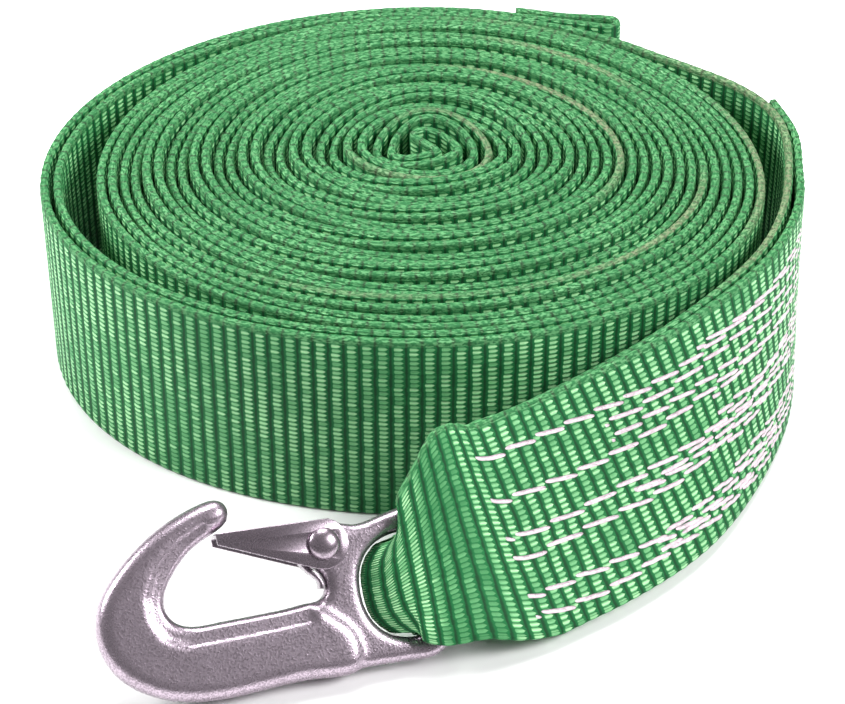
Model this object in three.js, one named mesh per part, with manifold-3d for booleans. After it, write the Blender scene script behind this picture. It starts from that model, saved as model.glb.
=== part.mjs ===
// A winch strap: one long green webbing wound from its middle into a double coil that stands on
// its edge, with a forged snap hook in the sewn loop at one end and a hemmed loop at the other.
// Millimetres, +Z up, the floor at z = 0. The camera side is -Y and the hook points to -X.
import * as THREE from "three";
import { mergeVertices } from "three/addons/utils/BufferGeometryUtils.js";
import Module from "manifold-3d";

const wasm = await Module();
wasm.setup();

// Webbing
const webWidth = 50;
const webThick = 2.2;
const plyGap = 1; // between two plies that are sewn together
const stepsPerTurn = 24;

// Coil: a spiral of half turns, counted from the middle of the strap
const coilCentre = [0.6, 42.6];
const coilHalfTurns = 26; // to the right-hand side, where the hook's strand leaves the coil
const coilStart = 0.3;
const coilHalfWidth = 82.3; // at half turn 25
const coilHalfDepth = 72.4; // at half turn 25.5
const innerSlack = 0.8; // half turns of room at the heart of the coil
const widthPower = 0.87; // under 1, so the inner turns lie looser
const depthPower = 0.95;
const innerLeftGap = 7.8; // how far the last left-hand turns stand off the coil
const outerLeftGap = 8.3;
const rightGap = 4.3;
const cornerGap = 5.5; // where the sewn-back end stiffens the strand
const cornerSpan = 0.28; // half turns
const heartRise = 6; // the heart of the coil stands proud of its rim
const backRise = 4;
const wander = 1.1; // how unevenly the turns' edges lie

// Hook's strand from the coil to the sewn loop: plan x, plan y and lean from upright in degrees
const leadOut = [
  [90.8, 24, 3],
  [86.2, 1, 9],
  [74.8, -26.7, 21],
  [62, -47, 33],
  [44.2, -63.8, 41],
  [28.6, -74.4, 43],
];
const sewnBackTurn = 25.88; // half turn beside which the sewn-back ply ends

// Loop round the hook's bar, in the hook's own frame: along the hook, then off its plane
const barCentre = [0.9, -69.8, 14.25];
const hookTurn = 17; // degrees the hook points toward the camera from -X
const hookLean = 48; // degrees the plane of the hook rises from the floor
const loopNose = 12.6;
const loopHalfDepth = 6.1;
const noseWidth = 10.5;
// Share of the way from the first stitches to the bar, share of the depth, width and lift
const nearTaper = [[0.3, 0.6, 50, 2.8], [0.62, 0.96, 46.5, 5.3], [1, 1.05, 39, 4.8]];
const farTaper = [[0.3, 0.6, 40, 2], [0.62, 0.93, 30, 2], [1, 1, 24, 0]];
// The same from the bar to the nose
const nearFold = [[0.44, 1.04, 30, 2.5], [0.78, 0.62, 18, 0]];
const farFold = [[0.44, 0.92, 22, 0], [0.78, 0.62, 18, 0]];

// Far end of the strap
const tailLeaves = 26.58;
const tailLength = 28;
const tailTurn = 0; // degrees from straight sideways, away from the coil
const tailBend = 2.4;
const hemLength = 25;

// Hook, drawn in its own plane: u from the bar toward the tip, v up the plane
const bladeThick = 6.4;
const bowlThick = 9;
const bladeRound = 1.6;
const bowlRound = 2.8;
const barHalf = 3.5;
const eyeHalf = 11.6; // half the length of the bar between its arms
const eyeDepth = 15.2; // from the middle of the bar to the neck
const eyePull = 7; // how square the eye's far side is
const bowlOutside = [
  [18, -15.8], [32, -15.9], [51.8, -16.1], [62.1, -13.4], [69.7, -7.6], [72.7, -0.5],
  [71.5, 7.9], [65.4, 15.3], [55.4, 22.1], [44.8, 25.7], [41.8, 25.6], [40.2, 23.6],
  [40.6, 21], [42.6, 19.4], [44.8, 18.5], [50.2, 15.8], [55.4, 10.5], [57.4, 6.8],
  [57.3, 3.7], [55.4, 1.2], [52, 0.1], [46, 0], [32.7, -0.1], [25.1, 0],
];
const neckOutside = [
  [23.1, 1.1], [22.3, 3.1], [22.9, 5.6], [25.7, 8.8], [26.7, 12], [25.4, 15.4], [21.7, 17],
  [17.6, 16.1], [13.5, 14.8], [7.4, 15.9], [1.5, 16.6], [-2.4, 14], [-3.5, 9], [-3.5, 0],
  [-3.5, -9], [-2.4, -14], [1.5, -16.5], [7.4, -16.3],
];
const bowlHeel = [[22.2, -2.4], [17.5, -8]];

// Latch, rivet and spring
const pivot = [21.7, 12];
const latchTipTop = [43.6, 18.3];
const latchTipLow = [43.6, 15.9];
const latchRound = 5.4;
const webStart = 3.5; // the latch's web begins this far past its pivot
const sheet = 1;
const fit = 0.35;
const shankRadius = 2;
const headRadius = 3.75;
const headHeight = 1.9;
const springWide = 4;
const springThick = 0.8;
const springPath = [[27.5, 11.8], [27.1, 9.4], [25.6, 7], [23.9, 5.2], [23.3, 3.8], [23.5, 2.6]];

const radians = Math.PI / 180;
const up = new THREE.Vector3(0, 0, 1);

function hump(x) {
  return Math.abs(x) < 0.5 ? Math.cos(Math.PI * x) ** 2 : 0;
}

// Centre of the webbing at a half-turn count, on the hook's strand or on the tail's
function coilPoint(halfTurns, isTail) {
  const across = coilHalfWidth * ((halfTurns + innerSlack) / (25 + innerSlack)) ** widthPower;
  const deep = coilHalfDepth * ((halfTurns + innerSlack) / (25.5 + innerSlack)) ** depthPower;
  const out = isTail
    ? outerLeftGap * hump(halfTurns - 26)
    : innerLeftGap * hump(halfTurns - 25) +
      rightGap * hump(halfTurns - 26) +
      cornerGap * hump((halfTurns - sewnBackTurn) / cornerSpan);
  const angle = Math.PI * ((isTail ? 1 : 0) - halfTurns);
  const inside = Math.max(0, 1 - (halfTurns / 25) ** 2);
  const rise =
    heartRise * inside +
    backRise * Math.max(0, Math.sin(angle)) ** 2 +
    wander * Math.min(1, 3 * inside) * Math.sin(4.7 * halfTurns + (isTail ? 2 : 0));
  return new THREE.Vector3(
    coilCentre[0] + (across + out) * Math.cos(angle),
    coilCentre[1] + (deep + out) * Math.sin(angle),
    webWidth / 2 + Math.max(0, rise),
  );
}

function section(centre, lie, width) {
  return { centre, lie: lie.clone().normalize(), width };
}

// Turns of one strand from the heart of the coil outward, sampled at the same directions
function coilStrand(isTail, last) {
  const step = 2 / stepsPerTurn;
  const strand = [section(coilPoint(coilStart, isTail), up, webWidth)];
  for (let n = Math.ceil(coilStart / step + 0.3) * step; n < last - step / 3; n += step) {
    strand.push(section(coilPoint(n, isTail), up, webWidth));
  }
  strand.push(section(coilPoint(last, isTail), up, webWidth));
  return strand;
}

// Hook's frame: along to the tip, up its plane, and off it toward the camera
const along = new THREE.Vector3(-Math.cos(hookTurn * radians), -Math.sin(hookTurn * radians), 0);
const floorBack = new THREE.Vector3(along.y, -along.x, 0);
const upPlane = floorBack
  .clone()
  .multiplyScalar(Math.cos(hookLean * radians))
  .addScaledVector(up, Math.sin(hookLean * radians));
const behind = new THREE.Vector3().crossVectors(along, upPlane);
const bar = new THREE.Vector3(...barCentre);
const ownPlane = new THREE.Matrix4().makeBasis(along, upPlane, behind).setPosition(bar);

// Middle of the two sewn plies between the coil and the start of the stitching
function sewnBand(count) {
  const start = coilPoint(coilHalfTurns, false);
  const places = [new THREE.Vector3(start.x + (webThick + plyGap) / 2, start.y, 0)];
  for (const [x, y, lean] of leadOut) {
    places.push(new THREE.Vector3(x, y, lean));
  }
  const curve = new THREE.CatmullRomCurve3(places, false, "centripetal");
  const band = [];
  for (let i = 1; i <= count; i += 1) {
    const place = curve.getPoint(i / count);
    const way = curve.getTangent(i / count).setZ(0).normalize();
    const inward = new THREE.Vector3(way.y, -way.x, 0);
    const lean = place.z * radians;
    const lie = inward.multiplyScalar(Math.sin(lean)).addScaledVector(up, Math.cos(lean));
    const low = new THREE.Vector3(place.x, place.y, (webThick + plyGap / 2) * Math.sin(lean));
    const centre = low.addScaledVector(lie, webWidth / 2);
    const face = new THREE.Vector3().crossVectors(lie, way).normalize();
    band.push({ ...section(centre, lie, webWidth), face });
  }
  return band;
}

// From the first stitches to the nose of the loop, on the near side (+1) or the far side (-1)
function loopHalf(side, first) {
  const near = behind.clone().negate();
  const half = [];
  const taper = side > 0 ? nearTaper : farTaper;
  for (const [share, depth, width, lift] of taper) {
    const lie = first.lie.clone().lerp(upPlane, share).normalize();
    const centre = first.centre.clone().lerp(bar, share).addScaledVector(lie, lift);
    const face = first.face.clone().lerp(near, share).normalize();
    half.push(section(centre.addScaledVector(face, side * loopHalfDepth * depth), lie, width));
  }
  for (const [share, depth, width, lift] of side > 0 ? nearFold : farFold) {
    const centre = bar.clone().addScaledVector(along, loopNose * share);
    centre.addScaledVector(near, side * loopHalfDepth * depth).addScaledVector(upPlane, lift);
    half.push(section(centre, upPlane, width));
  }
  return half;
}

// Far end: straight off the coil, turned back on itself away from the coil
function tail() {
  const from = coilPoint(tailLeaves, true);
  const way = new THREE.Vector3(Math.cos(tailTurn * radians), Math.sin(tailTurn * radians), 0);
  const away = new THREE.Vector3(-way.y, way.x, 0);
  const spread = webThick + plyGap;
  const place = (distance, offset) => {
    const share = THREE.MathUtils.clamp(distance / tailLength, 0, 1);
    const centre = from.clone().addScaledVector(way, distance).addScaledVector(away, offset);
    centre.z = THREE.MathUtils.lerp(from.z, webWidth / 2, share);
    return section(centre, up, webWidth);
  };
  const sections = [];
  for (const share of [0.2, 0.45, 0.7, 0.9, 1]) {
    sections.push(place(tailLength * share, 0));
  }
  for (const turn of [45, 90, 135]) {
    const sideways = tailBend * (1 - Math.cos(turn * radians));
    sections.push(place(tailLength + tailBend * Math.sin(turn * radians), sideways));
  }
  sections.push(place(tailLength, 2 * tailBend));
  for (const share of [0.25, 0.5, 0.75, 1]) {
    const offset = Math.max(spread, THREE.MathUtils.lerp(2 * tailBend, spread, share * 2));
    sections.push(place(tailLength - hemLength * share, offset));
  }
  return sections;
}

// The whole strap from its hem, through the coil and round the hook's bar, to its sewn-back end
function strapSections() {
  const hookStrand = coilStrand(false, coilHalfTurns);
  const tailStrand = coilStrand(true, tailLeaves);
  const heart = hookStrand[0].centre.clone().add(tailStrand[0].centre).multiplyScalar(0.5);
  const band = sewnBand(14);
  const last = band[band.length - 1];
  const apart = (webThick + plyGap) / 2;
  const ply = (side) =>
    band.map(({ centre, lie, width, face }) =>
      section(centre.clone().addScaledVector(face, side * apart), lie, width),
    );
  const nose = section(bar.clone().addScaledVector(along, loopNose), upPlane, noseWidth);
  const besideCoil = [];
  for (const n of [coilHalfTurns, (coilHalfTurns + sewnBackTurn) / 2, sewnBackTurn]) {
    const centre = coilPoint(n, false);
    const out = centre.clone().sub(coilPoint(n - 0.3, false)).normalize();
    const away = new THREE.Vector3(-out.y, out.x, 0).normalize();
    besideCoil.push(section(centre.addScaledVector(away, 2 * apart), up, webWidth));
  }
  return [
    ...tail().reverse(),
    ...tailStrand.reverse(),
    section(heart, up, webWidth),
    ...hookStrand,
    ...ply(-1),
    ...loopHalf(-1, last),
    nose,
    ...loopHalf(1, last).reverse(),
    ...ply(1).reverse(),
    ...besideCoil,
  ];
}

// A closed band through the sections: four corners at each, capped at both ends
function sweep(sections) {
  const corners = [];
  sections.forEach(({ centre, lie, width }, i) => {
    const before = sections[Math.max(0, i - 1)].centre;
    const after = sections[Math.min(sections.length - 1, i + 1)].centre;
    const way = after.clone().sub(before).normalize();
    const off = new THREE.Vector3().crossVectors(way, lie).normalize();
    for (const [a, b] of [[-1, -1], [1, -1], [1, 1], [-1, 1]]) {
      const corner = centre.clone().addScaledVector(off, (a * webThick) / 2);
      corners.push(corner.addScaledVector(lie, (b * width) / 2));
    }
  });
  const faces = [0, 1, 2, 0, 2, 3];
  for (let i = 0; i < sections.length - 1; i += 1) {
    for (let k = 0; k < 4; k += 1) {
      const [a, b] = [4 * i + k, 4 * i + ((k + 1) % 4)];
      faces.push(a, a + 4, b + 4, a, b + 4, b);
    }
  }
  const end = 4 * (sections.length - 1);
  faces.push(end, end + 2, end + 1, end, end + 3, end + 2);
  const geometry = new THREE.BufferGeometry();
  const flat = corners.flatMap((corner) => corner.toArray());
  geometry.setAttribute("position", new THREE.Float32BufferAttribute(flat, 3));
  geometry.setIndex(faces);
  return geometry;
}

// Plate with rounded edges, from its outline in the hook's plane, centred on that plane
function plate(outline, thick, round, hole) {
  const shape = new THREE.Shape(outline);
  if (hole) {
    shape.holes.push(new THREE.Path(hole));
  }
  const geometry = new THREE.ExtrudeGeometry(shape, {
    depth: thick - 2 * round,
    bevelEnabled: round > 0,
    bevelThickness: round,
    bevelSize: round,
    bevelOffset: -round,
    bevelSegments: 3,
    curveSegments: 8,
  });
  return geometry.translate(0, 0, round - thick / 2);
}

function smooth(points, count) {
  const places = points.map(([x, y]) => new THREE.Vector3(x, y, 0));
  const curve = new THREE.CatmullRomCurve3(places, true, "centripetal");
  return curve.getSpacedPoints(count).slice(0, -1).map((p) => new THREE.Vector2(p.x, p.y));
}

function solid(geometry) {
  const bare = new THREE.BufferGeometry();
  bare.setAttribute("position", geometry.getAttribute("position").clone());
  if (geometry.index) {
    bare.setIndex(geometry.index);
  }
  const whole = mergeVertices(bare, 1e-3);
  return new wasm.Manifold(
    new wasm.Mesh({
      numProp: 3,
      vertProperties: new Float32Array(whole.attributes.position.array),
      triVerts: new Uint32Array(whole.index.array),
    }),
  );
}

function asGeometry(manifold) {
  const mesh = manifold.getMesh();
  const geometry = new THREE.BufferGeometry();
  geometry.setAttribute("position", new THREE.BufferAttribute(mesh.vertProperties, 3));
  geometry.setIndex(new THREE.BufferAttribute(mesh.triVerts, 1));
  return geometry;
}

function crossBar(radius, length, [u, v]) {
  return new THREE.CylinderGeometry(radius, radius, length, 24)
    .rotateX(Math.PI / 2)
    .translate(u, v, 0);
}

function hookBody() {
  const eye = new THREE.Path();
  eye.moveTo(barHalf, -eyeHalf);
  eye.lineTo(barHalf, eyeHalf);
  eye.bezierCurveTo(eyeDepth * 0.75, eyeHalf, eyeDepth, eyePull, eyeDepth, 0);
  eye.bezierCurveTo(eyeDepth, -eyePull, eyeDepth * 0.75, -eyeHalf, barHalf, -eyeHalf);
  const blade = plate(
    smooth([...bowlOutside, ...neckOutside], 120),
    bladeThick,
    bladeRound,
    eye.getPoints(8).slice(0, -1),
  );
  const bowl = plate(smooth([...bowlOutside, ...bowlHeel], 90), bowlThick, bowlRound);
  const bore = crossBar(shankRadius + fit, 2 * bowlThick, pivot);
  return asGeometry(solid(blade).add(solid(bowl)).subtract(solid(bore)));
}

// Folded from one sheet: two cheeks outside the neck, joined by a web along the top
function latchOutline(inset) {
  const [u, v] = pivot;
  const points = [];
  for (let turn = 110; turn <= 290; turn += 20) {
    const angle = turn * radians;
    points.push([u + latchRound * Math.cos(angle), v + latchRound * Math.sin(angle)]);
  }
  points.push([latchTipLow[0], latchTipLow[1]], [latchTipTop[0], latchTipTop[1]]);
  return points.map(([x, y]) => new THREE.Vector2(x, y - inset));
}

function latch() {
  const inner = bladeThick + 2 * fit;
  const outer = inner + 2 * sheet;
  const whole = solid(plate(latchOutline(0), outer, 0));
  const channel = solid(plate(latchOutline(sheet), inner, 0));
  const heel = solid(
    new THREE.BoxGeometry(3 * latchRound, 4 * latchRound, inner).translate(
      pivot[0] - latchRound * 1.5 + webStart,
      pivot[1],
      0,
    ),
  );
  const bore = solid(crossBar(shankRadius + fit, 2 * outer, pivot));
  return asGeometry(whole.subtract(channel).subtract(heel).subtract(bore));
}

function rivet() {
  const seat = bladeThick / 2 + 2 * fit + sheet;
  const profile = [[0, -seat - headHeight]];
  const dome = [[0.5, 0.87], [0.87, 0.5], [1, 0]];
  for (const [out, high] of dome) {
    profile.push([headRadius * out, -seat - headHeight * high]);
  }
  profile.push([shankRadius, -seat], [shankRadius, seat]);
  for (const [out, high] of dome.reverse()) {
    profile.push([headRadius * out, seat + headHeight * high]);
  }
  profile.push([0, seat + headHeight]);
  const points = profile.map(([x, y]) => new THREE.Vector2(x, y));
  return new THREE.LatheGeometry(points, 24).rotateX(Math.PI / 2).translate(...pivot, 0);
}

function spring() {
  const places = springPath.map(([x, y]) => new THREE.Vector3(x, y, 0));
  const curve = new THREE.CatmullRomCurve3(places);
  const strip = [[-1, -1], [1, -1], [1, 1], [-1, 1]].map(
    ([a, b]) => new THREE.Vector2((a * springWide) / 2, (b * springThick) / 2),
  );
  return new THREE.ExtrudeGeometry(new THREE.Shape(strip), { steps: 10, extrudePath: curve });
}

function piece(name, geometry, colour, roughness, metalness) {
  const bare = new THREE.BufferGeometry();
  bare.setAttribute("position", geometry.getAttribute("position").clone());
  if (geometry.index) {
    bare.setIndex(geometry.index.clone());
  }
  const whole = mergeVertices(bare, 1e-3);
  whole.computeVertexNormals();
  const material = new THREE.MeshStandardMaterial({ color: colour, roughness, metalness });
  const mesh = new THREE.Mesh(whole, material);
  mesh.name = name;
  return mesh;
}

const part = new THREE.Group();
part.add(
  piece("webbing", sweep(strapSections()), 0x2f9a5a, 0.7, 0),
  piece("hook_body", hookBody().applyMatrix4(ownPlane), 0xa9a3ad, 0.42, 0.9),
  piece("latch", latch().applyMatrix4(ownPlane), 0xb3adb6, 0.36, 0.9),
  piece("rivet", rivet().applyMatrix4(ownPlane), 0xb8b3bb, 0.3, 0.9),
  piece("latch_spring", spring().applyMatrix4(ownPlane), 0x9a979c, 0.35, 0.9),
);

// The origin is the middle of the whole part's footprint, on the floor
const box = new THREE.Box3().setFromObject(part);
part.position.set(-(box.min.x + box.max.x) / 2, -(box.min.y + box.max.y) / 2, -box.min.z);

export default part;
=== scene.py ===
import math

import bpy
from mathutils import Matrix, Vector


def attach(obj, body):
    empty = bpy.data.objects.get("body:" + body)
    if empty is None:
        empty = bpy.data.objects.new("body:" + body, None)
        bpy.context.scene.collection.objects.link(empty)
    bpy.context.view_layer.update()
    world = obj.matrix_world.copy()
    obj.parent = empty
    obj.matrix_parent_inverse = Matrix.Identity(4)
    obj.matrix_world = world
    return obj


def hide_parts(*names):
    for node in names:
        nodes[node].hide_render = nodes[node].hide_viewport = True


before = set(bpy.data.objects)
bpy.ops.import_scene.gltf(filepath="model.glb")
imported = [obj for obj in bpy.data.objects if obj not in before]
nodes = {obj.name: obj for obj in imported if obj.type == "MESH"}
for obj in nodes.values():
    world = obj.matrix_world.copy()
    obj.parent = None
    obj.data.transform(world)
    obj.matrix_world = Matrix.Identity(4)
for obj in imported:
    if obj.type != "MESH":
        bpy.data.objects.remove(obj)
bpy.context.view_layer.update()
print("strap scene: frame loaded")

strap = {
    "width": 0.050,
    "thickness": 0.0022,
    "ribPitch": 0.0035,
    "ribDepth": 0.0002,  # how far the valleys lie below the ribs, on each face
    "scallop": 0.0001,  # how far the selvage dips at each valley
    "selvage": 0.0009,  # rounding of the long edges
    "floatPitch": 0.00124,  # rows of warp floats across the webbing
    "sewnGap": 0.001,
    "samplesPerRib": 4,
    "doubled": 0.215,  # the doubled part, on each side of the loop's fold
    "acrossLoop": 9,  # extra points across each face of the doubled part
    "edgeShare": 0.62,  # thickness left at the rounded edges
    "noseReach": 0.012,  # how far from the nose the fold's corners draw back
    "deepestCup": 0.006,
    "selvageRun": (0.00105, 0.0024, 0.0035),  # way round a selvage, on the weave's own map
    "endCap": 0.03,  # where on that map both cut ends lie
}
coil = {  # the turns, in millimetres, as the part draws them
    "fromPart": (-0.3969, -11.4396, 0.0),  # the drawing's origin in the part's frame
    "centre": (0.6, 42.6),
    "halfTurns": 26,
    "start": 0.3,
    "halfWidth": 82.3,
    "halfDepth": 72.4,
    "innerSlack": 0.8,
    "widthPower": 0.87,
    "depthPower": 0.95,
    "innerLeftGap": 7.8,
    "outerLeftGap": 8.3,
    "rightGap": 4.3,
    "cornerGap": 5.5,
    "cornerSpan": 0.28,
    "heartRise": 6.0,
    "backRise": 4.0,
    "wander": 1.1,
    "sewnBackTurn": 25.88,
}
leadOut = [  # plan x, plan y and lean of the doubled webbing, from the coil to the first stitches
    (90.8, 24, 3),
    (86.2, 1, 9),
    (74.8, -26.7, 21),
    (62, -47, 33),
    (44.2, -63.8, 41),
    (28.6, -74.4, 43),
]
loop = {  # round the hook's bar
    "bar": (0.9, -69.8, 14.25),
    "turn": 17,
    "lean": 48,
    "nose": 13.6,
    "halfDepth": 6.1,
    "noseWidth": 20,
    "cupped": 0.0048,  # how the fold's corners draw back into the eye
    # share of the way, share of the depth, width and lift, to the bar and then to the nose
    "near": [(0.3, 0.6, 50, 2.8), (0.62, 0.96, 46.5, 5.3), (1, 1.05, 39, 4.8)],
    "far": [(0.3, 0.6, 40, 2), (0.62, 0.93, 30, 2), (1, 1, 24, 0)],
    "nearFold": [(0.41, 1.04, 30, 2.5), (0.73, 0.66, 21, 0)],
    "farFold": [(0.41, 0.92, 22, 0), (0.73, 0.66, 21, 0)],
}
tail = {"leaves": 26.58, "length": 28, "turn": 0, "bend": 2.4, "hem": 25}

widthMm = strap["width"] * 1000
thickMm = strap["thickness"] * 1000
gapMm = strap["sewnGap"] * 1000
up = Vector((0, 0, 1))


def hump(x):
    return math.cos(math.pi * x) ** 2 if abs(x) < 0.5 else 0.0


def coilPoint(n, isTail):
    slack = coil["innerSlack"]
    across = coil["halfWidth"] * ((n + slack) / (25 + slack)) ** coil["widthPower"]
    deep = coil["halfDepth"] * ((n + slack) / (25.5 + slack)) ** coil["depthPower"]
    if isTail:
        out = coil["outerLeftGap"] * hump(n - 26)
    else:
        out = coil["innerLeftGap"] * hump(n - 25) + coil["rightGap"] * hump(n - 26)
        out += coil["cornerGap"] * hump((n - coil["sewnBackTurn"]) / coil["cornerSpan"])
    angle = math.pi * ((1 if isTail else 0) - n)
    inside = max(0.0, 1 - (n / 25) ** 2)
    rise = coil["heartRise"] * inside + coil["backRise"] * max(0.0, math.sin(angle)) ** 2
    rise += coil["wander"] * min(1.0, 3 * inside) * math.sin(4.7 * n + (2 if isTail else 0))
    return Vector(
        (
            coil["centre"][0] + (across + out) * math.cos(angle),
            coil["centre"][1] + (deep + out) * math.sin(angle),
            widthMm / 2 + max(0.0, rise),
        )
    )


turn, lean = math.radians(loop["turn"]), math.radians(loop["lean"])
along = Vector((-math.cos(turn), -math.sin(turn), 0))
upPlane = Vector((along.y, -along.x, 0)) * math.cos(lean) + up * math.sin(lean)
behind = along.cross(upPlane)
bar = Vector(loop["bar"])


def smoothThrough(rows, steps):
    # Catmull-Rom through rows of (centre, lie, width), steps to a span, spaced by distance
    places = [row[0] for row in rows]
    knots = [0.0]
    for a, b in zip(places, places[1:]):
        knots.append(knots[-1] + max(1e-4, (b - a).length) ** 0.5)
    packed = [(*centre, *lie, width) for centre, lie, width in rows]
    out = []
    for i in range(len(rows) - 1):
        p = [packed[max(0, i - 1)], packed[i], packed[i + 1], packed[min(len(rows) - 1, i + 2)]]
        k1, k2 = knots[i], knots[i + 1]
        k0 = knots[i - 1] if i else k1 - (k2 - k1)
        k3 = knots[i + 2] if i + 2 < len(rows) else k2 + (k2 - k1)
        for s in range(steps):
            t = s / steps
            span = k2 - k1
            row = []
            for a, b, c, d in zip(*p):
                m1 = span * ((b - a) / (k1 - k0) - (c - a) / (k2 - k0) + (c - b) / span)
                m2 = span * ((c - b) / span - (d - b) / (k3 - k1) + (d - c) / (k3 - k2))
                h1, h2 = 2 * t**3 - 3 * t**2 + 1, t**3 - 2 * t**2 + t
                row.append(h1 * b + h2 * m1 + (1 - h1) * c + (t**3 - t**2) * m2)
            out.append((Vector(row[0:3]), Vector(row[3:6]).normalized(), row[6]))
    out.append(rows[-1])
    return out


def coilRows(isTail, last):
    step = 1 / 24
    rows = [(coilPoint(coil["start"], isTail), up, widthMm)]
    n = math.ceil(coil["start"] / step + 0.3) * step
    while n < last - step / 3:
        rows.append((coilPoint(n, isTail), up, widthMm))
        n += step
    rows.append((coilPoint(last, isTail), up, widthMm))
    return rows


def sewnBand(count):
    start = coilPoint(coil["halfTurns"], False)
    places = [(Vector((start.x + (thickMm + gapMm) / 2, start.y, 0)), up, 0.0)]
    places += [(Vector((x, y, tilt)), up, 0.0) for x, y, tilt in leadOut]
    fine = [row[0] for row in smoothThrough(places, 40)]
    flat = [Vector((p.x, p.y, 0)) for p in fine]
    run = [0.0]
    for a, b in zip(flat, flat[1:]):
        run.append(run[-1] + (b - a).length)
    band = []
    for i in range(1, count + 1):
        want = run[-1] * i / count
        k = next(j for j in range(len(run)) if run[j] >= want - 1e-6)
        place = fine[k]
        way = (flat[min(k + 1, len(flat) - 1)] - flat[max(0, k - 1)]).normalized()
        tilt = math.radians(place.z)
        lie = Vector((way.y, -way.x, 0)) * math.sin(tilt) + up * math.cos(tilt)
        low = Vector((place.x, place.y, (thickMm + gapMm / 2) * math.sin(tilt)))
        band.append((low + lie * widthMm / 2, lie, widthMm, lie.cross(way).normalized()))
    return band


def loopHalf(side, first):
    centre0, lie0, _, face0 = first
    half = []
    for share, depth, width, lift in loop["near" if side > 0 else "far"]:
        lie = lie0.lerp(upPlane, share).normalized()
        face = face0.lerp(-behind, share).normalized()
        centre = centre0.lerp(bar, share) + lie * lift + face * side * loop["halfDepth"] * depth
        half.append((centre, lie, width))
    for share, depth, width, lift in loop["nearFold" if side > 0 else "farFold"]:
        centre = bar + along * loop["nose"] * share - behind * side * loop["halfDepth"] * depth
        half.append((centre + upPlane * lift, upPlane, width))
    return half


def tailRows():
    start = coilPoint(tail["leaves"], True)
    heading = math.radians(tail["turn"])
    way = Vector((math.cos(heading), math.sin(heading), 0))
    away = Vector((-way.y, way.x, 0))

    def place(distance, offset):
        share = min(1.0, max(0.0, distance / tail["length"]))
        centre = start + way * distance + away * offset
        centre.z = start.z + (widthMm / 2 - start.z) * share
        return (centre, up, widthMm)

    rows = [place(tail["length"] * share, 0) for share in (0.2, 0.45, 0.7, 0.9, 1)]
    for degrees in (45, 90, 135):
        a = math.radians(degrees)
        rows.append(
            place(tail["length"] + tail["bend"] * math.sin(a), tail["bend"] * (1 - math.cos(a)))
        )
    rows.append(place(tail["length"], 2 * tail["bend"]))
    for share in (0.25, 0.5, 0.75, 1):
        spread = 2 * tail["bend"] + (thickMm + gapMm - 2 * tail["bend"]) * share * 2
        rows.append(place(tail["length"] - tail["hem"] * share, max(thickMm + gapMm, spread)))
    return rows


def strapRows():
    hookStrand = coilRows(False, coil["halfTurns"])
    tailStrand = coilRows(True, tail["leaves"])
    heart = (hookStrand[0][0] + tailStrand[0][0]) / 2
    band = sewnBand(14)
    apart = (thickMm + gapMm) / 2

    def ply(side):
        return [(centre + face * side * apart, lie, width) for centre, lie, width, face in band]

    beside = []
    for n in (
        coil["halfTurns"],
        (coil["halfTurns"] + coil["sewnBackTurn"]) / 2,
        coil["sewnBackTurn"],
    ):
        centre = coilPoint(n, False)
        ahead = (centre - coilPoint(n - 0.3, False)).normalized()
        away = Vector((-ahead.y, ahead.x, 0)).normalized()
        beside.append((centre + away * 2 * apart, up, widthMm))
    before = tailRows()[::-1] + tailStrand[::-1] + [(heart, up, widthMm)] + hookStrand
    before += ply(-1) + loopHalf(-1, band[-1])
    nose = [(bar + along * loop["nose"], upPlane, loop["noseWidth"])]
    after = loopHalf(1, band[-1])[::-1] + ply(1)[::-1] + beside
    return before + nose + after, len(before)


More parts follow.
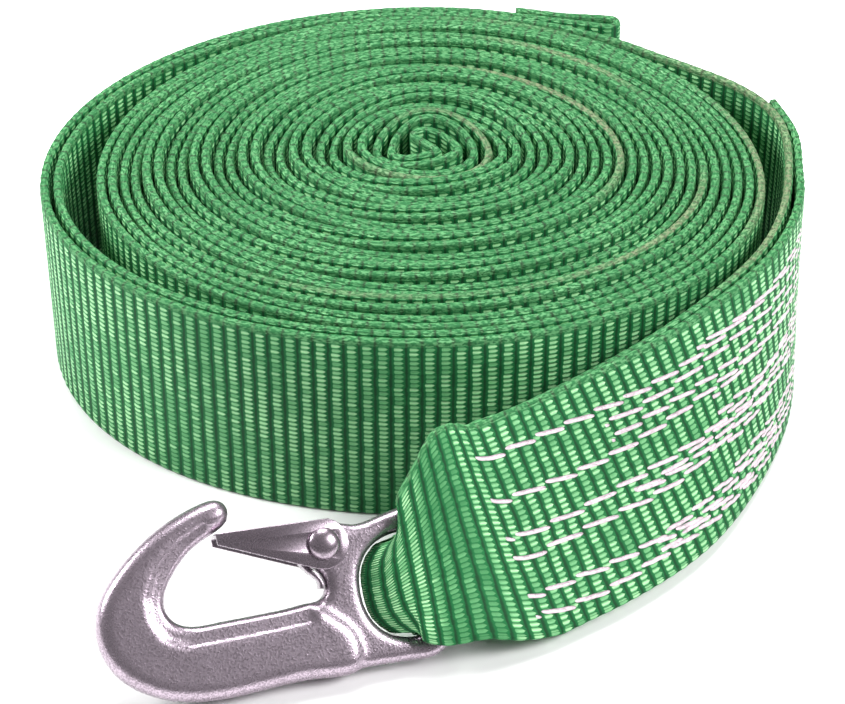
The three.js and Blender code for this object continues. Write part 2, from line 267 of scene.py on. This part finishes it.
def layWebbing():
    rows, noseIndex = strapRows()
    steps = 5
    fine = smoothThrough(rows, steps)
    run = [0.0]
    for a, b in zip(fine, fine[1:]):
        run.append(run[-1] + (b[0] - a[0]).length)
    length = run[-1] / 1000
    noseAt = run[noseIndex * steps] / 1000
    spacing = strap["ribPitch"] * 1000 / strap["samplesPerRib"]
    count = int(run[-1] / spacing)
    shift = Vector(coil["fromPart"])
    half = strap["thickness"] / 2
    even = []
    k = 0
    for i in range(count + 1):
        s = min(i * spacing, run[-1])
        while k < len(run) - 2 and run[k + 1] < s:
            k += 1
        t = (s - run[k]) / max(1e-9, run[k + 1] - run[k])
        a, b = fine[k], fine[k + 1]
        place = (a[0].lerp(b[0], t) + shift) / 1000
        even.append((place, a[1].lerp(b[1], t).normalized(), a[2] + (b[2] - a[2]) * t, s / 1000))

    denseFrom = next(i for i, row in enumerate(even) if abs(row[3] - noseAt) < strap["doubled"])
    verts, rings = [], []
    for i, (centre, lie, width, s) in enumerate(even):
        way = (even[min(count, i + 1)][0] - even[max(0, i - 1)][0]).normalized()
        off = way.cross(lie).normalized()
        rib = 0.5 - 0.5 * math.cos(2 * math.pi * i / strap["samplesPerRib"])
        t = half - strap["ribDepth"] * (1 - rib)
        tEdge = half * strap["edgeShare"]
        w = width / 2000 - strap["scallop"] * (1 - rib)
        e = strap["selvage"] * min(1.0, width / widthMm * 1.2)
        extra = strap["acrossLoop"] if i >= denseFrom else 0
        across = [-1 + 2 * j / (extra + 1) for j in range(extra + 2)]
        ring = [(t, (w - e) * a) for a in across] + [(tEdge, w), (-tEdge, w)]
        ring += [(-t, (w - e) * a) for a in reversed(across)] + [(-tEdge, -w), (tEdge, -w)]
        nearNose = max(0.0, 1 - (abs(s - noseAt) / strap["noseReach"]) ** 2)
        rings.append((len(verts), extra))
        for x, y in ring:
            cup = loop["cupped"] * abs(y * 1000) ** 3 / 1000
            pull = nearNose * min(strap["deepestCup"], cup)
            verts.append(centre + off * x + lie * y - along * pull)

    # coordinate round the section: near face, top selvage, far face, bottom selvage
    flatHalf = strap["width"] / 2 - strap["selvage"]
    selvageRun = strap["selvageRun"]

    def around(extra):
        across = [flatHalf * (-1 + 2 * j / (extra + 1)) for j in range(extra + 2)]
        out = across + [flatHalf + selvageRun[0], flatHalf + selvageRun[1]]
        out += [2 * flatHalf + selvageRun[2] + a for a in across]
        start = 3 * flatHalf + selvageRun[2]
        return out + [start + d for d in selvageRun]

    faces, uvs = [], []
    for i in range(count):
        (a0, extraA), (b0, extraB) = rings[i], rings[i + 1]
        u0, u1 = even[i][3], even[i + 1][3]
        va, vb = around(extraA), around(extraB)
        if extraA == extraB:
            size = 8 + 2 * extraA
            for j in range(size):
                faces.append((a0 + j, a0 + (j + 1) % size, b0 + (j + 1) % size, b0 + j))
                uvs += [(u0, va[j]), (u0, va[j + 1]), (u1, va[j + 1]), (u1, va[j])]
            continue
        j = 0  # where the finer sections begin, each wide face meets a row of points
        for side in range(8):
            span = 1 + (extraB if side in (0, 4) else 0)
            ends = [(j + k) % (8 + 2 * extraB) for k in range(span + 1)]
            faces.append((a0 + side, a0 + (side + 1) % 8, *[b0 + k for k in reversed(ends)]))
            uvs += [(u0, va[side]), (u0, va[side + 1])]
            uvs += [(u1, vb[j + k]) for k in range(span, -1, -1)]
            j += span
    lastRing, lastExtra = rings[-1]
    size = 8 + 2 * lastExtra
    faces.append(tuple(range(7, -1, -1)))
    uvs += [(0.0, strap["endCap"])] * 8
    faces.append(tuple(range(lastRing, lastRing + size)))
    uvs += [(even[-1][3], strap["endCap"])] * size
    mesh = bpy.data.meshes.new("webbing_woven")
    mesh.from_pydata(verts, [], faces)
    layer = mesh.uv_layers.new(name="weave")
    layer.data.foreach_set("uv", [c for uv in uvs for c in uv])
    mesh.polygons.foreach_set("use_smooth", [True] * len(mesh.polygons))
    mesh.update()
    piece = bpy.data.objects.new("webbing_woven", mesh)
    bpy.context.scene.collection.objects.link(piece)
    return piece, length, noseAt


webbing, strapLength, noseAt = layWebbing()
print("strap scene: webbing", round(strapLength, 3), "m,", len(webbing.data.polygons), "faces")
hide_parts("webbing")
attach(webbing, "strap")

bowlRecess = {  # millimetres in the hook's own plane
    "outline": [
        (46, 21.6), (52.5, 18.8), (58.4, 13.4), (61.2, 7.6), (61.1, 2.8), (58.8, -1.6),
        (54.3, -3.9), (48, -4.2), (36, -4.2), (26.5, -3.9), (25.4, 2), (30, 5), (45, 12),
        (44, 17),
    ],
    "floor": 3.7,
    "height": 4.0,
}
metal = {
    "voxel": 0.00045,
    "smoothing": 32,
    "edge": 0.00022,
    "latchReach": 1.03,  # the latch's tip comes up against the nose of the hook
    "latchPin": (21.7, 12.0),  # along the hook and up its plane, in millimetres
}


def alone(piece):
    bpy.ops.object.select_all(action="DESELECT")
    piece.select_set(True)
    bpy.context.view_layer.objects.active = piece


def copyOf(nodeName, pieceName):
    piece = bpy.data.objects.new(pieceName, nodes[nodeName].data.copy())
    piece.data.name = pieceName
    bpy.context.scene.collection.objects.link(piece)
    alone(piece)
    bpy.ops.object.mode_set(mode="EDIT")
    bpy.ops.mesh.select_all(action="SELECT")
    bpy.ops.mesh.remove_doubles(threshold=0.00001)
    bpy.ops.mesh.normals_make_consistent(inside=False)
    bpy.ops.object.mode_set(mode="OBJECT")
    return piece


def finishWith(piece, kind, **settings):
    alone(piece)
    modifier = piece.modifiers.new(kind.lower(), kind)
    for key, value in settings.items():
        setattr(modifier, key, value)
    bpy.ops.object.modifier_apply(modifier=modifier.name)


hookBody = copyOf("hook_body", "hook_forging")
barPlace = (bar + Vector(coil["fromPart"])) / 1000
hookPlane = Matrix((along, upPlane, behind)).transposed().to_4x4()
hookPlane.translation = barPlace
for side in (-1, 1):
    # recess along the inside of the bowl, where the forging was trimmed
    bpy.ops.object.select_all(action="DESELECT")
    bpy.ops.mesh.primitive_circle_add(
        vertices=len(bowlRecess["outline"]), radius=0.01, fill_type="NGON", location=(0, 0, 0)
    )
    cutter = bpy.context.active_object
    for vertex, (x, y) in zip(cutter.data.vertices, bowlRecess["outline"]):
        vertex.co = Vector((x, y, side * bowlRecess["floor"])) / 1000
    bpy.ops.object.mode_set(mode="EDIT")
    bpy.ops.mesh.select_all(action="SELECT")
    bpy.ops.mesh.extrude_region_move(
        TRANSFORM_OT_translate={"value": (0, 0, side * bowlRecess["height"] / 1000)}
    )
    bpy.ops.mesh.select_all(action="SELECT")
    bpy.ops.mesh.normals_make_consistent(inside=False)
    bpy.ops.object.mode_set(mode="OBJECT")
    cutter.data.transform(hookPlane)
    finishWith(hookBody, "BOOLEAN", operation="DIFFERENCE", object=cutter, solver="EXACT")
    bpy.data.objects.remove(cutter)
finishWith(hookBody, "REMESH", mode="VOXEL", voxel_size=metal["voxel"])
finishWith(hookBody, "SMOOTH", factor=0.5, iterations=metal["smoothing"])
alone(hookBody)
bpy.ops.object.shade_smooth()

latch = copyOf("latch", "latch_pressing")
pinAlong, pinUp = (d / 1000 for d in metal["latchPin"])
bpy.ops.object.mode_set(mode="EDIT")
bpy.ops.mesh.select_all(action="SELECT")
bpy.ops.transform.resize(
    value=(metal["latchReach"],) * 3,
    center_override=barPlace + along * pinAlong + upPlane * pinUp,
)
bpy.ops.object.mode_set(mode="OBJECT")
finishWith(latch, "BEVEL", width=metal["edge"], segments=2, limit_method="ANGLE")
alone(latch)
bpy.ops.object.shade_smooth_by_angle(angle=math.radians(35))

rivet = copyOf("rivet", "rivet_domed")
finishWith(rivet, "SUBSURF", levels=1, render_levels=1)
alone(rivet)
bpy.ops.object.shade_smooth()

spring = copyOf("latch_spring", "spring_leaf")
finishWith(spring, "BEVEL", width=metal["edge"] * 0.6, segments=2, limit_method="ANGLE")
alone(spring)
bpy.ops.object.shade_smooth_by_angle(angle=math.radians(35))

for piece, node, body, slotName in [
    (hookBody, "hook_body", "hook", "plated_steel"),
    (latch, "latch", "latch", "latch_steel"),
    (rivet, "rivet", "hook", "latch_steel"),
    (spring, "latch_spring", "hook", "latch_steel"),
]:
    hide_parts(node)
    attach(piece, body)
print("strap scene: metal pieces", [len(p.data.polygons) for p in (hookBody, latch, rivet, spring)])

weave = {
    # painted shade: the valley colour is a dark green painted into the recessed rib valleys
    "valleyShade": (0.001, 0.040, 0.010),
    "ground": (0.005, 0.130, 0.034),
    # the float colour is the yarn's green lightened by a painted sheen
    "floatWithSheen": (0.22, 0.60, 0.25),
    # painted highlight: the glint colour is put on the crowns of the floats
    "glint": (0.62, 0.85, 0.52),
    "selvageTint": (0.26, 0.20, 0.14),
    "thread": (0.80, 0.64, 0.72),
    "roughness": (0.75, 0.36),  # between the floats and on them
    "shine": 0.28,
    "rows": [0.17, 0.37, 0.53, 0.63, 0.81, 0.90],  # stitch rows, from the top edge
    "tracks": [  # start along the webbing, distance aside and phase of each row's threads
        (0.0, 0.0, 0.0),
        (0.034, 0.0031, 0.35),
        (0.064, -0.0012, 0.7),
    ],
    "loopHalf": 0.036,  # from the nose of the loop to the first stitches
    "sewnLength": 0.172,
    "stitch": 0.0082,
    "threadWidth": 0.0011,
}


class Graph:
    # short ways to add nodes to a material
    def __init__(self, name):
        self.material = bpy.data.materials.new(name)
        self.material.use_nodes = True
        self.tree = self.material.node_tree
        self.tree.nodes.clear()
        self.shader = self.add("ShaderNodeBsdfPrincipled")
        out = self.add("ShaderNodeOutputMaterial")
        self.tree.links.new(self.shader.outputs[0], out.inputs[0])

    def add(self, kind, **settings):
        node = self.tree.nodes.new(kind)
        for key, value in settings.items():
            setattr(node, key, value)
        return node

    def put(self, socket, value):
        if isinstance(value, bpy.types.NodeSocket):
            self.tree.links.new(value, socket)
        else:
            socket.default_value = value

    def sum(self, operation, a, b=0.0, c=None, clamp=False):
        node = self.add("ShaderNodeMath", operation=operation, use_clamp=clamp)
        self.put(node.inputs[0], a)
        self.put(node.inputs[1], b)
        if c is not None:
            self.put(node.inputs[2], c)
        return node.outputs[0]

    def ramp(self, value, low, high, start=0.0, end=1.0):
        node = self.add("ShaderNodeMapRange", interpolation_type="SMOOTHSTEP")
        for socket, v in zip(node.inputs, (value, low, high, start, end)):
            self.put(socket, v)
        return node.outputs[0]

    def mix(self, share, a, b):
        node = self.add("ShaderNodeMix", data_type="RGBA")
        self.put(node.inputs[0], share)
        self.put(node.inputs[6], a if isinstance(a, bpy.types.NodeSocket) else (*a, 1))
        self.put(node.inputs[7], b if isinstance(b, bpy.types.NodeSocket) else (*b, 1))
        return node.outputs[2]

    def noise(self, place, scale, detail=2.0, roughness=0.5, dimensions="3D"):
        node = self.add("ShaderNodeTexNoise", noise_dimensions=dimensions)
        self.put(node.inputs["Vector"], place)
        node.inputs["Scale"].default_value = scale
        node.inputs["Detail"].default_value = detail
        node.inputs["Roughness"].default_value = roughness
        return node.outputs[0]


def webbingFinish():
    g = Graph("woven green webbing")
    uv = g.add("ShaderNodeUVMap", uv_map="weave")
    split = g.add("ShaderNodeSeparateXYZ")
    g.put(split.inputs[0], uv.outputs[0])
    u, v = split.outputs[0], split.outputs[1]
    place = g.add("ShaderNodeTexCoord").outputs["Object"]

    ribs = g.sum("DIVIDE", u, strap["ribPitch"])
    rows = g.sum("DIVIDE", v, strap["floatPitch"])
    rowPart = g.sum("FRACT", g.sum("ADD", rows, 100.0))
    rowEdge = g.sum("MULTIPLY", g.sum("ABSOLUTE", g.sum("SUBTRACT", rowPart, 0.5)), 2.0)
    cell = g.add("ShaderNodeCombineXYZ")
    g.put(cell.inputs[0], g.sum("FLOOR", ribs))
    g.put(cell.inputs[1], g.sum("FLOOR", rows))
    chance = g.add("ShaderNodeTexWhiteNoise", noise_dimensions="2D")
    g.put(chance.inputs["Vector"], cell.outputs[0])
    chanceValue = chance.outputs["Value"]
    ribPart = g.sum("FRACT", g.sum("ADD", ribs, g.sum("MULTIPLY", chanceValue, 0.07)))

    # floats lie over the middle of each rib; their ends are toothed, one tooth to a row
    opening = g.ramp(g.sum("SUBTRACT", ribPart, g.sum("MULTIPLY", rowEdge, 0.05)), 0.20, 0.29)
    toothEnd = g.sum("SUBTRACT", 0.86, g.sum("MULTIPLY", rowEdge, 0.22))
    closing = g.ramp(g.sum("SUBTRACT", ribPart, toothEnd), -0.05, 0.03, 1.0, 0.0)
    column = g.sum("MULTIPLY", opening, closing)
    furrow = g.ramp(rowEdge, 0.5, 0.95)
    floats = g.sum("MULTIPLY", column, g.sum("SUBTRACT", 1.0, g.sum("MULTIPLY", furrow, 0.85)))

    # flat stretch between the loop's fold and the first stitches
    fromNose = g.sum("ABSOLUTE", g.sum("SUBTRACT", u, noseAt))
    sewn = g.sum("SUBTRACT", fromNose, weave["loopHalf"])
    flat = g.sum("MULTIPLY", g.ramp(sewn, -0.021, -0.017), g.ramp(sewn, -0.007, -0.004, 1.0, 0.0))
    floats = g.sum("MULTIPLY", floats, g.sum("SUBTRACT", 1.0, g.sum("MULTIPLY", flat, 0.6)))

    # selvages: finer picks than the ribs, some of them faded to beige
    fromEdge = g.sum("ABSOLUTE", g.sum("SUBTRACT", v, strap["width"] / 2 + 0.0003))
    selvage = g.ramp(fromEdge, 0.0012, 0.0020, 1.0, 0.0)
    picks = g.add("ShaderNodeTexNoise", noise_dimensions="2D")
    pickPlace = g.add("ShaderNodeCombineXYZ")
    g.put(pickPlace.inputs[0], g.sum("MULTIPLY", u, 820.0))
    g.put(pickPlace.inputs[1], g.sum("MULTIPLY", v, 1500.0))
    g.put(picks.inputs["Vector"], pickPlace.outputs[0])
    picks.inputs["Scale"].default_value = 1.0
    picks.inputs["Detail"].default_value = 1.5
    pickShare = g.ramp(picks.outputs[0], 0.42, 0.62)
    keep = g.sum("SUBTRACT", 1.0, selvage)
    edgePicks = g.sum("MULTIPLY", g.sum("MULTIPLY", pickShare, 0.42), selvage)
    floats = g.sum("ADD", g.sum("MULTIPLY", floats, keep), edgePicks)

    lively = g.sum("ADD", 0.55, g.sum("MULTIPLY", chanceValue, 0.6))
    patches = g.ramp(g.noise(place, 55.0, 3.0), 0.3, 0.7, 0.65, 1.1)
    floats = g.sum("MULTIPLY", g.sum("MULTIPLY", floats, lively), patches, clamp=True)
    # painted shade: the ground darkens to the valley colour on both sides of each rib valley
    ground = g.mix(g.ramp(ribPart, 0.86, 1.0), weave["ground"], weave["valleyShade"])
    ground = g.mix(g.ramp(ribPart, 0.0, 0.22, 1.0, 0.0), ground, weave["valleyShade"])
    # the floats follow the real weave pattern, and their lighter green is a painted sheen
    colour = g.mix(floats, ground, weave["floatWithSheen"])
    # painted highlight: a pale glint on the middle of each float's row
    paintedGlint = g.sum("MULTIPLY", g.ramp(rowEdge, 0.1, 0.5, 1.0, 0.0), g.ramp(floats, 0.5, 0.9))
    colour = g.mix(g.sum("MULTIPLY", paintedGlint, 0.45), colour, weave["glint"])
    alongStrap = g.add("ShaderNodeCombineXYZ")
    g.put(alongStrap.inputs[0], u)
    faded = g.ramp(g.noise(alongStrap.outputs[0], 3.1, 2.0), 0.60, 0.66)
    worn = g.sum("ADD", 0.2, g.sum("MULTIPLY", pickShare, 0.35))
    edgeShare = g.sum("MULTIPLY", selvage, g.sum("ADD", 0.05, g.sum("MULTIPLY", faded, worn)))
    colour = g.mix(edgeShare, colour, weave["selvageTint"])

    # stitch rows on the doubled part, each of several wavering runs of long stitches
    sewn = g.sum("SUBTRACT", g.sum("SUBTRACT", u, noseAt), weave["loopHalf"])
    threads = None
    half = strap["width"] / 2
    for i, share in enumerate(weave["rows"]):
        for track, (start, aside, phase) in enumerate(weave["tracks"]):
            middle = half - share * strap["width"] + (aside if i % 2 else -aside)
            bend = g.sum("MULTIPLY", sewn, 90.0 + 13 * i + 21 * track)
            wave = g.sum("MULTIPLY", g.sum("SINE", g.sum("ADD", bend, 1.7 * i)), 0.0004)
            across = g.sum("SUBTRACT", g.sum("SUBTRACT", v, middle), wave)
            pitch = weave["stitch"] * (1 + 0.06 * ((i * 5 + track * 3) % 4))
            pace = g.sum("ADD", g.sum("DIVIDE", sewn, pitch), 20.0 + 0.37 * i + phase)
            reach = g.sum("SUBTRACT", g.sum("FRACT", pace), 0.5)
            slant = g.sum("ADD", across, g.sum("MULTIPLY", reach, 0.0012))
            long = g.sum("POWER", g.sum("ABSOLUTE", g.sum("DIVIDE", reach, 0.49)), 6.0)
            wide = g.sum("DIVIDE", slant, weave["threadWidth"] / 2)
            body = g.sum("SUBTRACT", 1.0, g.sum("ADD", long, g.sum("MULTIPLY", wide, wide)))
            begin = g.ramp(sewn, start - 0.0003, start + 0.0006)
            end = g.ramp(sewn, weave["sewnLength"] - 0.003, weave["sewnLength"], 1.0, 0.0)
            body = g.sum("MULTIPLY", g.sum("MAXIMUM", body, 0.0), g.sum("MULTIPLY", begin, end))
            threads = body if threads is None else g.sum("MAXIMUM", threads, body)
    threadMask = g.ramp(threads, 0.02, 0.25)
    twist = g.ramp(g.noise(place, 900.0, 1.0), 0.35, 0.65, 0.6, 1.0)
    threadColour = g.mix(twist, (0.34, 0.30, 0.30), weave["thread"])
    colour = g.mix(threadMask, colour, threadColour)
    g.put(g.shader.inputs["Base Color"], colour)

    height = g.sum("MULTIPLY", floats, g.sum("SUBTRACT", 1.0, g.sum("MULTIPLY", rowEdge, rowEdge)))
    height = g.sum("ADD", height, g.sum("MULTIPLY", g.sum("SQRT", threads), 2.2))
    height = g.sum("ADD", height, g.sum("MULTIPLY", g.noise(place, 1400.0, 2.0), 0.25))
    bump = g.add("ShaderNodeBump")
    bump.inputs["Strength"].default_value = 1.0
    bump.inputs["Distance"].default_value = 0.0003
    g.put(bump.inputs["Height"], height)
    g.put(g.shader.inputs["Normal"], bump.outputs[0])
    yarn = g.sum("MAXIMUM", floats, threadMask, clamp=True)
    g.put(g.shader.inputs["Roughness"], g.ramp(yarn, 0.0, 0.8, *weave["roughness"]))
    g.shader.inputs["Specular IOR Level"].default_value = weave["shine"]
    return g.material


steel = {
    "forged": (0.47, 0.39, 0.46),
    "pressed": (0.40, 0.33, 0.39),
    "grain": 2200.0,
}


def steelFinish(name, colour, grainDepth, low, high):
    g = Graph(name)
    place = g.add("ShaderNodeTexCoord").outputs["Object"]
    grain = g.noise(place, steel["grain"], 2.0)
    broad = g.noise(place, 90.0, 4.0, 0.6)
    dark = tuple(c * 0.62 for c in colour)
    tone = g.mix(g.ramp(grain, 0.35, 0.6), dark, colour)
    tone = g.mix(g.ramp(broad, 0.35, 0.7, 0.0, 0.35), tone, dark)
    g.put(g.shader.inputs["Base Color"], tone)
    g.put(g.shader.inputs["Roughness"], g.ramp(grain, 0.3, 0.7, high, low))
    g.shader.inputs["Metallic"].default_value = 0.9
    bump = g.add("ShaderNodeBump")
    bump.inputs["Strength"].default_value = 1.0
    bump.inputs["Distance"].default_value = grainDepth
    g.put(bump.inputs["Height"], g.sum("ADD", grain, g.sum("MULTIPLY", broad, 1.5)))
    g.put(g.shader.inputs["Normal"], bump.outputs[0])
    return g.material


webbing.data.materials.clear()
webbing.data.materials.append(webbingFinish())
forgedSteel = steelFinish("zinc plated forging", steel["forged"], 0.00006, 0.2, 0.42)
pressedSteel = steelFinish("zinc plated pressing", steel["pressed"], 0.00001, 0.2, 0.32)
for piece, finish in [
    (hookBody, forgedSteel),
    (latch, pressedSteel),
    (rivet, pressedSteel),
    (spring, pressedSteel),
]:
    piece.data.materials.clear()
    piece.data.materials.append(finish)
print("strap scene: finishes")

studio = {
    "floorSize": 6.0,
    "floorColour": (0.93, 0.93, 0.93),
    "sky": 0.2,
    "aim": (0, -0.02, 0.03),
    "lights": [  # place, size and watts, each turned to the coil
        ((-1.0, 0.15, 0.65), 0.5, 17.0),
        ((0.85, -0.35, 0.8), 0.5, 15.0),
        ((0.0, 0.45, 1.15), 0.7, 18.0),
    ],
    "camera": (-0.0004, -0.49685, 0.37767),
    "tilt": 54.0,
    "focal": 107.36,
}

bpy.ops.object.select_all(action="DESELECT")
bpy.ops.mesh.primitive_plane_add(size=studio["floorSize"], location=(0, 0, -0.0002))
floor = bpy.context.active_object
floor.name = "studio_floor"
floorGraph = Graph("pale floor")
floorPlace = floorGraph.add("ShaderNodeTexCoord").outputs["Object"]
floorTone = floorGraph.mix(
    floorGraph.noise(floorPlace, 3.0), studio["floorColour"], (0.95, 0.95, 0.95)
)
floorGraph.put(floorGraph.shader.inputs["Base Color"], floorTone)
floorGraph.shader.inputs["Roughness"].default_value = 0.9
floor.data.materials.append(floorGraph.material)

for i, (place, size, watts) in enumerate(studio["lights"]):
    bpy.ops.object.light_add(type="AREA", location=place)
    lamp = bpy.context.active_object
    lamp.name = f"soft_light_{i}"
    lamp.data.size = size
    lamp.data.energy = watts
    aim = Vector(studio["aim"]) - Vector(place)
    lamp.rotation_euler = aim.to_track_quat("-Z", "Y").to_euler()

world = bpy.data.worlds.new("soft room")
bpy.context.scene.world = world
world.use_nodes = True
background = world.node_tree.nodes["Background"]
background.inputs[0].default_value = (1, 1, 1, 1)
background.inputs[1].default_value = studio["sky"]

bpy.ops.object.camera_add(
    location=studio["camera"], rotation=(math.radians(studio["tilt"]), 0, 0)
)
camera = bpy.context.active_object
camera.data.sensor_width = 36
camera.data.lens = studio["focal"]
bpy.context.scene.camera = camera
bpy.context.scene.view_settings.view_transform = "Standard"
print("strap scene: studio")
